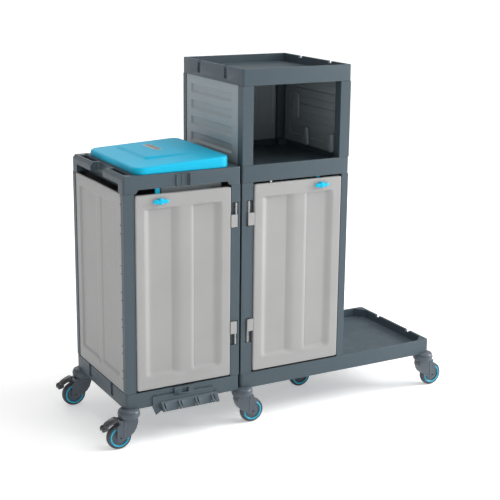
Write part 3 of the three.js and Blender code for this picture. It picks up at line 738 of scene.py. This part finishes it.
def end_panel_grids(node, way):
    """An end panel: panelled outside with soft edges, flat inside."""
    lo, hi = box(node)
    sizes = bpy.context.scene.cart_shapes
    wide = hi[Y] - lo[Y]
    ends = (wide / 2 - END_PILASTER_HALF, wide / 2 + END_PILASTER_HALF)

    def front(p):
        return panelled(
            p[..., Y] - lo[Y],
            p[..., Z] - lo[Z],
            (wide, hi[Z] - lo[Z]),
            END_RIMS,
            (*ends, END_PILASTER_SLOPE, END_PILASTER_SLOPE),
            sizes.panel_depth,
            END_PILASTER_HEIGHT,
            END_SLOPES,
            END_FOOT,
        )

    middle = (lo[Y] + hi[Y]) / 2
    fine = {
        Y: [
            (lo[Y] + 0.043, 0.010, 0.002),
            (hi[Y] - 0.043, 0.010, 0.002),
            (middle - 0.020, 0.012, 0.0015),
            (middle + 0.020, 0.012, 0.0015),
        ],
        Z: [(hi[Z] - 0.048, 0.007, 0.0015), (lo[Z] + 0.052, 0.024, 0.002)],
    }
    return plate(lo, hi, X, way, 0.002, 0.0025, front, None, fine, 0.014)


def build_end_panels():
    """The two end panels with their clip lugs, and the divider between the modules."""
    for node, way in (("left_end_panel", -1), ("divider_panel", -1), ("right_end_panel", 1)):
        stand_in(node, end_panel_grids(node, way), "cart", "grey_plastic")
    for end, way in (("left", -1), ("right", 1)):
        lo, hi = box(end + "_end_panel")
        face = lo[X] if way < 0 else hi[X]
        inner, outer = sorted((face - 0.0006 * way, face + 0.0009 * way))
        grids = []
        # Thin dark slabs on the front seam, in the tyre's dark finish: painted shade standing for the
        # shadowed slots.
        for z in SLOT_SHADE_HEIGHTS:
            low = np.array([inner, lo[Y] - 0.004, z - SLOT_SHADE_HALF])
            high = np.array([outer, lo[Y] + 0.009, z + SLOT_SHADE_HALF])
            grids += plate(low, high, X, way, 0.0024, 0.0005, step=0.004, back_edge=0.0)
        make(end + "_panel_clips", grids, "cart", FINISH["tyre"])


def louvre_grids(node, way):
    """A side panel of the hood: four louvres, each a flat pocket under a sharp upper edge that
    comes out again in a straight slope at its foot, with rounded ends."""
    lo, hi = box(node)
    tops = [hi[Z] - LOUVRE_TOP - i * LOUVRE_PITCH for i in range(4)]
    y0, y1 = lo[Y] + LOUVRE_FRONT, hi[Y] - LOUVRE_BACK

    def front(p):
        y, z = p[..., Y], p[..., Z]
        ends = ease((y - y0) / LOUVRE_END + 0.5) * ease((y1 - y) / LOUVRE_END + 0.5)
        total = np.zeros_like(y)
        for top in tops:
            v = (top - z) / LOUVRE_HEIGHT
            sunk = ease(v / 0.07) * np.clip((1 - v) / 0.27, 0, 1)
            total -= ends * np.where((v > 0) & (v < 1), LOUVRE_DEPTH * sunk, 0)
        return total

    fine = {
        Y: [(y0, 0.008, 0.002), (y1, 0.008, 0.002)],
        Z: [(top - 0.019, 0.022, 0.0015) for top in tops],
    }
    return plate(lo, hi, X, way, 0.001, 0.0015, front, front if way > 0 else None, fine)


def hood_back_grids():
    """The back of the hood: four sunk rectangles with eased edges over a plain strip."""
    lo, hi = box("hood_back_panel")
    width, foot = (hi[X] - lo[X]) / 4, lo[Z] + BACK_STRIP

    def front(p):
        u = np.mod(p[..., X] - lo[X], width)
        across = ease((u - BACK_RIM) / BACK_SLOPE) * ease((width - BACK_RIM - u) / BACK_SLOPE)
        rise = ease((p[..., Z] - foot) / BACK_SLOPE)
        return -BACK_DEPTH * across * rise * ease((hi[Z] - 2 * BACK_RIM - p[..., Z]) / BACK_SLOPE)

    fine = {
        X: [(lo[X] + k * width, 0.018, 0.0025) for k in range(5)],
        Z: [(foot + 0.003, 0.006, 0.0015), (hi[Z] - 0.022, 0.006, 0.0015)],
    }
    return plate(lo, hi, Y, -1, 0.001, 0.0012, front, None, fine, 0.03)


def hood_clip_grids():
    """Two tapering clips, in flattened sections along upright lines, and a small plate, all on
    the inside of the hood's right panel."""
    inner = box("hood_right_panel")[0]
    t = np.linspace(0, 1, 41)
    rise = inner[Z] + 0.001 + HOOD_CLIP_LENGTH * t
    round_end = np.sqrt(np.maximum(1 - (2 * t - 1) ** 8, 0))
    half_width, half_height = (0.024 - 0.013 * ease(t)) * round_end, 0.0095 * round_end
    grids = []
    for y in HOOD_CLIP_PLACES:
        path = np.stack([inner[X] - 0.013 + 0.002 * t, np.full_like(t, y), rise], 1)
        grids.append(loft(path, (0, 1, 0), (1, 0, 0), half_width, half_height, 3.4, 28))
    low = np.array([inner[X] - 0.007, 0.118, inner[Z] + 0.105])
    return grids + plate(low, low + (0.0065, 0.052, 0.110), X, -1, 0.008, 0.0025, step=0.01)


def build_hood():
    """Louvred side panels, back and clips of the hood, and the back panels of both cabinets."""
    for node, way in (("hood_left_panel", -1), ("hood_right_panel", 1)):
        stand_in(node, louvre_grids(node, way), "cart", "louvre_plastic")
    finish = FINISH["louvre_plastic"]
    replaced = ("hood_back_panel",)
    back = hood_back_grids()
    make("hood_back_moulding", back, "cart", finish, nodes=replaced)
    make("hood_clips", hood_clip_grids(), "cart", finish)
    for node in ("left_back_panel", "right_back_panel"):
        eased(node, "cart", FINISH["grey_plastic"], BACK_PANEL_EDGE)


# ---- lid --------------------------------------------------------------------------------------

LID_LOW_TOP, LID_HIGH_TOP = 1.099, 1.118
LID_PIN_GAP = 0.009
LID_CORNER = 0.040
LID_SKIRT, LID_SKIRT_ROWS = 0.04, 8
LID_WALL = 0.0035
LID_CROWN, LID_CROWN_REACH = 0.0012, 0.12
PLATEAU_LEFT, PLATEAU_RIGHT, PLATEAU_FRONT, PLATEAU_BACK = 0.094, 0.075, 0.126, 0.055
PLATEAU_CORNER, PLATEAU_SLOPE = 0.02, 0.013
PLATEAU_LEAST = 0.0006
PLATEAU_LEVEL, PLATEAU_RISE, PLATEAU_START = 1.111, 0.0154, 0.064
BARREL_PLACES = (-0.110, 0.116)
BARREL_RADIUS, BARREL_HALF = 0.008, 0.028
BADGE_X, BADGE_Y, BADGE_FOOT = 0.211, 0.322, 1.1125


def lid_barrel_grids(left):
    """The round barrels on the lid's pin, each with the leaf that joins it to the lid at left."""
    pin_lo, pin_hi = box("lid_pin")
    x, _, z = (pin_lo + pin_hi) / 2
    profile = [(0, -BARREL_HALF), (BARREL_RADIUS, -BARREL_HALF)]
    profile += [(BARREL_RADIUS, BARREL_HALF), (0, BARREL_HALF)]
    profile = rounded_profile(profile, 0.0012)
    grids = []
    for y in BARREL_PLACES:
        grids.append(turned(profile, np.array([x, y, z]), Y, 32))
        low = np.array([left - 0.004, y - BARREL_HALF, z - 0.005])
        high = np.array([x, y + BARREL_HALF, z + 0.008])
        grids += plate(low, high, Z, 1, 0.001, 0.001, step=0.01)
    return grids


def build_lid():
    """The lid: a sloped top with a plateau, a rolled edge and a skirt, given its wall by
    Solidify. Then its barrels and its blank badge."""
    lo, hi = box("lid")
    edge = bpy.context.scene.cart_shapes.lid_edge
    pin_lo, pin_hi = box("lid_pin")
    x1 = (pin_lo[X] + pin_hi[X]) / 2 - LID_PIN_GAP
    span_x, span_y = (lo[X], x1), (lo[Y], hi[Y])
    p0, p1 = lo[X] + PLATEAU_LEFT, x1 - PLATEAU_RIGHT
    q0, q1 = lo[Y] + PLATEAU_FRONT, hi[Y] - PLATEAU_BACK
    fine_x = [(p0 + 0.006, 0.014, 0.002), (p1 - 0.006, 0.014, 0.002)]
    fine_y = [(q0 + 0.006, 0.014, 0.002), (q1 - 0.006, 0.014, 0.002)]
    sx = stations(*span_x, edge, 0.012, fine_x, LID_SKIRT, LID_SKIRT_ROWS)
    sy = stations(*span_y, edge, 0.012, fine_y, LID_SKIRT, LID_SKIRT_ROWS)
    gx, gy, depth = pressed(*np.meshgrid(sx, sy, indexing="ij"), span_x, span_y, LID_CORNER)
    slope = LID_LOW_TOP + (LID_HIGH_TOP - LID_LOW_TOP) * (gx - lo[X]) / (x1 - lo[X])
    u = np.minimum(gx - p0, p1 - gx)
    v = np.minimum(gy - q0, q1 - gy)
    short_u, short_v = np.maximum(PLATEAU_CORNER - u, 0), np.maximum(PLATEAU_CORNER - v, 0)
    inside = np.minimum(np.minimum(u, v), PLATEAU_CORNER - np.hypot(short_u, short_v))
    level = PLATEAU_LEVEL + PLATEAU_RISE * (gx - lo[X] - PLATEAU_START)
    plateau = np.maximum(level - slope, PLATEAU_LEAST) * np.clip(inside / PLATEAU_SLOPE, 0, 1)
    crown = LID_CROWN * ease(np.clip(depth, 0, 1) / LID_CROWN_REACH)
    top = slope + plateau + crown - rolled(depth, edge)
    share = np.clip(-depth / LID_SKIRT, 0, 1)
    base = np.where(depth < 0, (slope - edge) * (1 - share) + lo[Z] * share, top)
    grid = np.stack([gx, gy, base], -1)
    cyan, slot = FINISH["cyan_plastic"], "cyan_plastic"
    piece = make("lid_moulding", [grid], "lid", cyan, outwards=False, nodes=("lid",))
    wall = piece.modifiers.new("Wall", "SOLIDIFY")
    wall.thickness = LID_WALL
    wall.offset = -1
    wall.use_even_offset = True
    make("lid_barrels", lid_barrel_grids(x1), "lid", cyan)
    surface = PLATEAU_LEVEL + PLATEAU_RISE * (BADGE_X - PLATEAU_START) + crown.max()
    for name, finish, half_x, half_y, rise in (
        ("lid_badge_rim", "badge_plastic", 0.017, 0.066, 0.0009),
        ("lid_badge", "badge_centre", 0.012, 0.060, 0.0014),
    ):
        x, y = lo[X] + BADGE_X, lo[Y] + BADGE_Y
        low = np.array([x - half_x, y - half_y, BADGE_FOOT])
        high = np.array([x + half_x, y + half_y, surface + rise])
        grids = plate(low, high, Z, 1, half_x * 0.6, 0.0006, step=0.008, back_edge=0.0)
        make(name, grids, "lid", FINISH[finish])


# ---- hinges and latches -----------------------------------------------------------------------

LATCH_HEIGHT = 0.971
LATCH_HALF = 0.033
LATCH_SHAFT_RADIUS = 0.0055
TONGUE_HALF = {"left": 0.010, "right": 0.008}


def build_hinges():
    """Hinge arms with their beaded pins."""
    grey = FINISH["grey_plastic"]
    for side in ("left", "right"):
        for end in ("top", "bottom"):
            node = f"{side}_hinge_{end}"
            eased(node, side + "_door", grey, HINGE_EDGE, angle=HINGE_ANGLE)


def build_latches():
    """Latches: two tapering wings pinched to a domed hub, a shaft and a tongue."""
    t = np.linspace(-1, 1, 41)
    round_end = np.sqrt(np.maximum(1 - abs(t) ** 5, 0))
    height = (0.0055 + 0.0035 * hill((abs(t) - 0.15) / 1.1)) * round_end
    thick = (0.0050 - 0.0018 * abs(t)) * round_end
    for side, half in TONGUE_HALF.items():
        lo, hi = box(side + "_latch")
        x, z, front, back = (lo[X] + hi[X]) / 2, LATCH_HEIGHT, lo[Y], hi[Y]
        path = [x + LATCH_HALF * t, np.full_like(t, front + 0.0052), np.full_like(t, z)]
        wings = loft(np.stack(path, 1), (0, 0, 1), (0, 1, 0), height, thick, 2.4, 28)
        dome = [(0, -front), (0.008, -front), (0.0125, -front - 0.004)]
        dome = rounded_profile(dome + [(0.0125, -front - 0.0165), (0, -front - 0.0165)], 0.003)
        hub = turned(dome * (1, -1), np.array([x, 0, z]), Y, 36)
        shaft = [(0, front + 0.01), (LATCH_SHAFT_RADIUS, front + 0.01)]
        shaft += [(LATCH_SHAFT_RADIUS, back - 0.001), (0, back - 0.001)]
        shaft = turned(shaft, np.array([x, 0, z]), Y, 24)
        low, high = np.array([x - half, back - 0.005, z - 0.008]), np.array([x + half, back, hi[Z]])
        tongue = plate(low, high, Y, -1, 0.002, 0.001, step=0.01)
        stand_in(side + "_latch", [wings, hub, shaft, *tongue], side + "_latch", "cyan_plastic")


# ---- castors ----------------------------------------------------------------------------------

CASTORS = ["left_front", "left_back", "middle_front", "middle_back", "right_front", "right_back"]
CASTOR_TRAIL = 0.043
FORK_EDGE = 0.003
FORK_HALF = 0.022
RIDGE_TRAIL, RIDGE_TOP, RIDGE_LENGTH = 0.027, 0.119, 0.074
BOLT = [(0, 0.0), (0.004, 0.0), (0.0058, -0.0012), (0.0062, -0.003), (0, -0.003)]
SAUCER = [(0.0085, 0.122), (0.034, 0.122), (0.0425, 0.127), (0.044, 0.136), (0.0435, 0.146)]
SAUCER += [(0.039, 0.1545), (0.030, 0.159), (0.018, 0.160), (0, 0.160), (0, 0.147)]
SAUCER += [(0.0085, 0.147), (0.0085, 0.122)]


def wheel_grids(centre):
    """A wheel from profiles of (radius, height), the same on both sides: a hub with a sunk web, a
    crowned tyre round it, and a rounded coloured ring let into the step between them."""
    hub = [
        (0.0064, 0.0140), (0.0130, 0.0140), (0.0150, 0.0126), (0.0160, 0.0098), (0.0315, 0.0090),
        (0.0330, 0.0104), (0.0334, 0.0118), (0.0368, 0.0118), (0.0368, 0.0),
    ]
    tyre = [
        (0.0366, 0.0), (0.0366, 0.0116), (0.0399, 0.0118), (0.0403, 0.0131), (0.0445, 0.0130),
        (0.0476, 0.0113), (0.0498, 0.0078), (0.0508, 0.0032), (0.0509, 0.0),
    ]
    solids = []
    for half in (hub, tyre):
        side = np.array(half)
        loop = np.concatenate([side, side[-2::-1] * (1, -1), side[:1]])
        solids.append(turned(rounded_profile(loop, 0.0009, 3), centre, Y, 72))
    t = np.linspace(0, math.pi, 11)
    arc = np.stack([0.0366 - 0.0030 * np.cos(t), 0.0122 + 0.0021 * np.sin(t)], 1)
    ring = np.concatenate([[(0.0336, 0.0112)], arc, [(0.0396, 0.0112), (0.0336, 0.0112)]])
    rings = [turned(ring * (1, way), centre, Y, 72) for way in (1, -1)]
    return solids, rings


def build_pedal(node, pivot, trail):
    """A brake pedal: a glossy curved plate that follows the wheel's top, in flattened sections
    along an arc, with two rounded lobes beyond its end."""
    t = np.linspace(0, 1, 33)
    reach = 0.049 + 0.053 * t
    height = 0.122 - 0.022 * t ** 1.8
    path = np.stack([pivot[X] + trail * reach, np.full_like(t, pivot[Y]), height], 1)
    ends = np.sqrt(np.maximum(1 - (2 * t - 1) ** 10, 0))
    tangent = np.gradient(path, axis=0)
    tangent /= np.linalg.norm(tangent, axis=1)[:, None]
    up = np.cross(tangent, (0, 1, 0)) * -trail
    plate_half = (0.0105 - 0.0035 * t) * ends
    grids = [loft(path, (0, 1, 0), up, 0.0185 * ends, plate_half, 3.2, 36)]
    round_end = np.sqrt(np.maximum(1 - (2 * t - 1) ** 4, 0))
    lobe = (0.0078 * round_end, 0.0115 * round_end)
    for side in (-1, 1):
        x, y = pivot[X] + trail * (0.088 + 0.029 * t), pivot[Y] + side * 0.0105
        line = np.stack([x, np.full_like(t, y), 0.0985 - 0.006 * t], 1)
        grids.append(loft(line, (0, 1, 0), (0, 0, 1), *lobe, 2.2, 28))
    stand_in(node, grids, node, "pedal_plastic")


def build_wheel(body, hub_finish):
    """Tyre, hub and rings of one wheel. Gives its centre."""
    lo, hi = box(body)
    centre = (lo + hi) / 2
    (hub, tyre), rings = wheel_grids(centre)
    make(body + "_tyre", [tyre], body, FINISH["tyre"], nodes=(body,))
    make(body + "_hub", [hub], body, FINISH[hub_finish])
    make(body + "_rings", rings, body, FINISH["ring_plastic"])
    return centre


def build_fork(name, centre, pivot, trail):
    """A fork with a ridge down each cheek, in elliptic sections along an upright line, and a bolt
    head at each end of its axle."""
    body, castor = "swivel_" + name, "castor_plastic"
    eased("fork_" + name, body, FINISH[castor], FORK_EDGE, segments=3)
    lo, hi = box("fork_" + name)
    t = np.linspace(0, 1, 25)
    swell = np.sqrt(1 - (2 * t - 1) ** 8)
    ridges, bolts = [], []
    for way, side in ((-1, lo[Y]), (1, hi[Y])):
        x, y = pivot[X] + trail * RIDGE_TRAIL, centre[Y] + way * FORK_HALF
        line = np.stack([np.full_like(t, x), np.full_like(t, y), RIDGE_TOP - RIDGE_LENGTH * t], 1)
        ridges.append(loft(line, (1, 0, 0), (0, 1, 0), 0.0045 * swell, 0.0018 * swell, 2.0, 20))
        profile = rounded_profile(BOLT, 0.0008, 3) * (1, way)
        bolts.append(turned(profile, np.array([centre[X], side, centre[Z]]), Y, 24))
    make(f"fork_ridges_{name}", ridges, body, FINISH[castor])
    make(f"axle_bolts_{name}", bolts, body, FINISH["steel_pin"])


def build_castors():
    """Six castors, each with its wheel, fork and housing, two of them with a brake pedal, and the
    fixed wheel."""
    castor = FINISH["castor_plastic"]
    for name in CASTORS:
        centre = build_wheel("wheel_" + name, "castor_plastic")
        trail = -1 if name.startswith("left") else 1
        pivot = np.array([centre[X] - trail * CASTOR_TRAIL, centre[Y], 0])
        build_fork(name, centre, pivot, trail)
        dome = [turned(rounded_profile(SAUCER, 0.004, 5), pivot, Z, 64)]
        node = "housing_" + name
        make(node + "_saucer", dome, "cart", castor, nodes=(node,))
        if "pedal_" + name in NODES:
            build_pedal("pedal_" + name, pivot, trail)
    build_wheel("mid_wheel", "tyre")


# ---- studio -----------------------------------------------------------------------------------

FLOOR_RADIUS, FLOOR_RINGS, FLOOR_SPOKES = 120, 12, 97
GLOW_NEAR, GLOW_FAR, GLOW_RISE = 1.5, 5.0, 0.35
SOFTBOXES = (
    ("side", (4.7, -1.7, 2.4), 2.5),
    ("key", (3.5, -6.5, 7.5), 2.0),
    ("fill", (-5.0, -8.0, 4.0), 4.0),
    ("top", (0.4, -1.2, 4.5), 3.2),
    ("rear", (0.0, 4.5, 3.0), 3.0),
)
CAMERA_PLACE = (-2.31694, -4.15971, 1.9232)
CAMERA_TURN = (29.03, 13.975, 0.684)  # yaw, pitch and roll, in degrees
CAMERA_LENS, CAMERA_SENSOR, CAMERA_REACH = 83.916, 36, 400
CAMERA_SHIFT = (-0.0094, -0.0400)


def softbox(name, place, size, power):
    """A square lamp at place that faces the cart's middle."""
    data = bpy.data.lights.new(name, "AREA")
    data.shape = "RECTANGLE"
    data.size = data.size_y = size
    data.energy = power
    lamp = bpy.data.objects.new(name, data)
    bpy.context.scene.collection.objects.link(lamp)
    way = Vector(LIT_POINT) - Vector(place)
    lamp.matrix_world = Matrix.Translation(place) @ way.to_track_quat("-Z", "Y").to_matrix().to_4x4()


def floor_mesh():
    """A wide flat disc: rings whose radius grows with the square of their number."""
    radius = np.linspace(0, 1, FLOOR_RINGS)[:, None] ** 2 * FLOOR_RADIUS
    angle = np.linspace(0, 2 * math.pi, FLOOR_SPOKES)[None]
    level = np.zeros((FLOOR_RINGS, FLOOR_SPOKES))
    grid = np.stack([radius * np.cos(angle), radius * np.sin(angle), level], -1)
    index = np.arange(level.size).reshape(level.shape)
    quads = [index[:-1, :-1], index[1:, :-1], index[1:, 1:], index[:-1, 1:]]
    mesh = bpy.data.meshes.new("floor")
    mesh.from_pydata(grid.reshape(-1, 3), [], np.stack([q.ravel() for q in quads], 1))
    return mesh


def floor_material(studio):
    """Dull pale paper whose own light grows away from the cart."""
    material = bpy.data.materials.new("floor")
    material.use_nodes = True
    tree = material.node_tree
    shader = tree.nodes["Principled BSDF"]
    shader.inputs["Base Color"].default_value = (*studio.floor, 1)
    shader.inputs["Roughness"].default_value = 0.6
    shader.inputs["Specular IOR Level"].default_value = 0.0
    shader.inputs["Emission Color"].default_value = (1, 1, 1, 1)
    where = node(tree, "TexCoord").outputs["Object"]
    away = node(tree, "VectorMath", {"operation": "LENGTH"}, i0=where).outputs["Value"]
    glow = spread(tree, away, GLOW_NEAR, GLOW_FAR, studio.glow, studio.glow + GLOW_RISE)
    tree.links.new(glow, shader.inputs["Emission Strength"])
    return material


def place_camera(scene):
    """The camera, turned by yaw, pitch and roll, with its axes as columns of its matrix."""
    data = bpy.data.cameras.new("camera")
    data.sensor_width = CAMERA_SENSOR
    data.lens = CAMERA_LENS
    data.shift_x, data.shift_y = CAMERA_SHIFT
    data.clip_end = CAMERA_REACH
    camera = bpy.data.objects.new("camera", data)
    scene.collection.objects.link(camera)
    yaw, pitch, roll = (math.radians(a) for a in CAMERA_TURN)
    level = math.cos(pitch)
    forward = np.array([math.sin(yaw) * level, math.cos(yaw) * level, -math.sin(pitch)])
    right = np.array([math.cos(yaw), -math.sin(yaw), 0])
    up = np.cross(right, forward)
    place = np.eye(4)
    place[:3, 0] = math.cos(roll) * right + math.sin(roll) * up
    place[:3, 1] = -math.sin(roll) * right + math.cos(roll) * up
    place[:3, 2] = -forward
    place[:3, 3] = CAMERA_PLACE
    camera.matrix_world = Matrix(place.tolist())
    scene.camera = camera


def build_studio():
    """Pale floor, white surround, softboxes and the camera."""
    scene = bpy.context.scene
    studio = scene.cart_studio
    scene.view_settings.view_transform = "Standard"
    floor = bpy.data.objects.new("floor", floor_mesh())
    scene.collection.objects.link(floor)
    floor.data.materials.append(floor_material(studio))

    world = bpy.data.worlds.new("surround")
    scene.world = world
    world.use_nodes = True
    background = world.node_tree.nodes["Background"]
    background.inputs["Color"].default_value = (1, 1, 1, 1)
    background.inputs["Strength"].default_value = studio.sky

    for name, place, size in SOFTBOXES:
        softbox(name + " light", place, size, getattr(studio, name))
    place_camera(scene)


# ---- operators --------------------------------------------------------------------------------


def operator(name, label, text, work):
    """An Operator class that runs one builder."""

    def execute(self, context):
        work()
        return {"FINISHED"}

    return type(
        "CART_OT_" + name,
        (bpy.types.Operator,),
        {"bl_idname": "cart." + name, "bl_label": label, "__doc__": text, "execute": execute},
    )


STEPS = [
    ("finishes", "Finishes", "Makes the shared effects and the cart's finishes", build_finishes),
    ("frames", "Frames and posts", "Rounds the bases, frames, trays and posts", build_frames),
    ("fittings", "Fittings", "Rounds the bag ring, tool rack, band clip and bracket", build_fittings),
    ("doors", "Doors", "Moulds both doors", build_doors),
    ("end_panels", "End panels", "Moulds the end panels and the divider", build_end_panels),
    ("hood", "Hood", "Moulds the hood's panels and the back panels", build_hood),
    ("lid", "Lid", "Moulds the bag module's lid", build_lid),
    ("hinges", "Hinges", "Rounds the hinge arms and pins", build_hinges),
    ("latches", "Latches", "Moulds the quarter-turn latches", build_latches),
    ("castors", "Castors", "Moulds the castors and the fixed wheel", build_castors),
    ("studio", "Studio", "Sets the floor, lights and camera", build_studio),
]
OPERATORS = [operator(*step) for step in STEPS]


class CART_PT_build(bpy.types.Panel):
    """The cart's pieces, in the order they are built"""

    bl_label = "Housekeeping Cart"
    bl_space_type = "VIEW_3D"
    bl_region_type = "UI"
    bl_category = "Cart"

    def draw(self, context):
        scene = context.scene
        for made in OPERATORS:
            self.layout.operator(made.bl_idname)
        for settings in (scene.cart_finishes, scene.cart_shapes, scene.cart_studio):
            for key in settings.__annotations__:
                self.layout.prop(settings, key)


CLASSES = [CartFinishes, CartShapes, CartStudio, *OPERATORS, CART_PT_build]


def register():
    for made in CLASSES:
        bpy.utils.register_class(made)
    bpy.types.Scene.cart_finishes = bpy.props.PointerProperty(type=CartFinishes)
    bpy.types.Scene.cart_shapes = bpy.props.PointerProperty(type=CartShapes)
    bpy.types.Scene.cart_studio = bpy.props.PointerProperty(type=CartStudio)


def unregister():
    del bpy.types.Scene.cart_finishes, bpy.types.Scene.cart_shapes, bpy.types.Scene.cart_studio
    for made in reversed(CLASSES):
        bpy.utils.unregister_class(made)


def main():
    register()
    for name, *_ in STEPS:
        getattr(bpy.ops.cart, name)()


if __name__ == "__main__":
    main()
